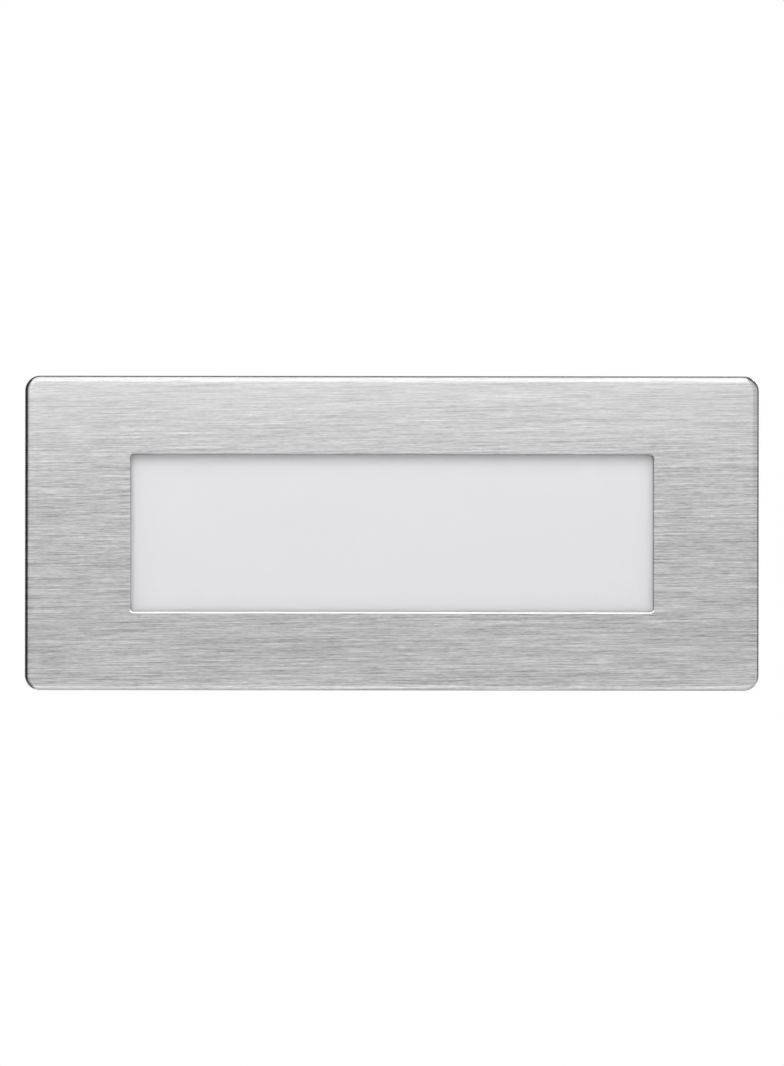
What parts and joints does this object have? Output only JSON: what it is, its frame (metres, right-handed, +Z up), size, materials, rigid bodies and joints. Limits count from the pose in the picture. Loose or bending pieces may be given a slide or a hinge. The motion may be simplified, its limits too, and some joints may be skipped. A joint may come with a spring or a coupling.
{
  "type": "recessed marker light",
  "caption": "Recessed wall marker light: brushed steel rectangular faceplate over an opal diffuser, on a moulded housing held in its cut-out by sprung clips.",
  "frame": {"origin": "centre of the wall's face, which is the back of the wall gasket", "axes": "+X to the right seen from the front, +Z up, +Y into the wall; the faceplate looks along -Y"},
  "size_m": [0.123, 0.0615, 0.0528],
  "materials": {
    "brushed_plate": "brushed, horizontal grain",
    "opal": "satin opal",
    "foam": "matte closed-cell foam",
    "silicone": "matte",
    "moulding": "fine spark texture",
    "white_moulding": "gloss white",
    "white_board": "solder resist",
    "green_board": "solder resist",
    "led_body": "gloss",
    "phosphor": "gloss",
    "thermal_pad": "matte",
    "aluminium": "mill",
    "zinc_steel": "zinc plated",
    "spring_steel": "bright drawn",
    "tinned_pin": "tinned",
    "black_component": "moulded",
    "blue_component": "lacquer",
    "sand_component": "lacquer",
    "yellow_component": "moulded",
    "terminal_green": "moulded",
    "nylon_black": "satin",
    "rubber_black": "matte",
    "sleeve_grey": "matte"
  },
  "bodies": {
    "luminaire": {"faceplate": "brushed_plate", "faceplate_tape": "foam", "diffuser": "opal", "diffuser_seal": "silicone", "wall_gasket": "foam", "housing": "moulding", "reflector": "white_moulding", "led_board": "white_board", "leds": "led_body", "led_phosphors": "phosphor", "thermal_pad": "thermal_pad", "heat_spreader": "aluminium", "light_engine_screws": "zinc_steel", "driver_board": "green_board", "driver_board_screws": "zinc_steel", "link_header": "black_component", "link_pins": "tinned_pin", "varistor": "blue_component", "fuse_resistor": "sand_component", "film_capacitor": "yellow_component", "bridge_rectifier": "black_component", "electrolytic_capacitor": "black_component", "choke": "black_component", "driver_chip": "black_component", "terminal_block": "terminal_green", "terminal_screws": "zinc_steel", "rear_seal": "silicone", "rear_cover": "moulding", "rear_cover_screws": "zinc_steel", "gland_body": "nylon_black", "gland_washer": "rubber_black", "gland_locknut": "nylon_black", "gland_seal": "rubber_black", "gland_nut": "nylon_black", "clip_bracket_screws": "zinc_steel", "clip_bracket_left": "zinc_steel", "clip_pin_left": "zinc_steel", "clip_spring_left": "spring_steel", "clip_bracket_right": "zinc_steel", "clip_pin_right": "zinc_steel", "clip_spring_right": "spring_steel"},
    "clip_left": {"clip_arm_left": "spring_steel", "clip_sleeve_left": "sleeve_grey"},
    "clip_right": {"clip_arm_right": "spring_steel", "clip_sleeve_right": "sleeve_grey"}
  },
  "joints": [
    {"name": "clip_right_fold", "type": "hinge", "parent": "luminaire", "child": "clip_right", "pos_m": [0.053, 0.0272, 0], "axis": [0, 0, -1], "range_deg": [0, 17], "stiffness_Nm_per_rad": 0.028, "springref_deg": -20.05, "deforming": ["clip_spring_right"]},
    {"name": "clip_left_fold", "type": "hinge", "parent": "luminaire", "child": "clip_left", "pos_m": [-0.053, 0.0272, 0], "axis": [0, 0, 1], "range_deg": [0, 17], "stiffness_Nm_per_rad": 0.028, "springref_deg": -20.05, "deforming": ["clip_spring_left"]}
  ]
}
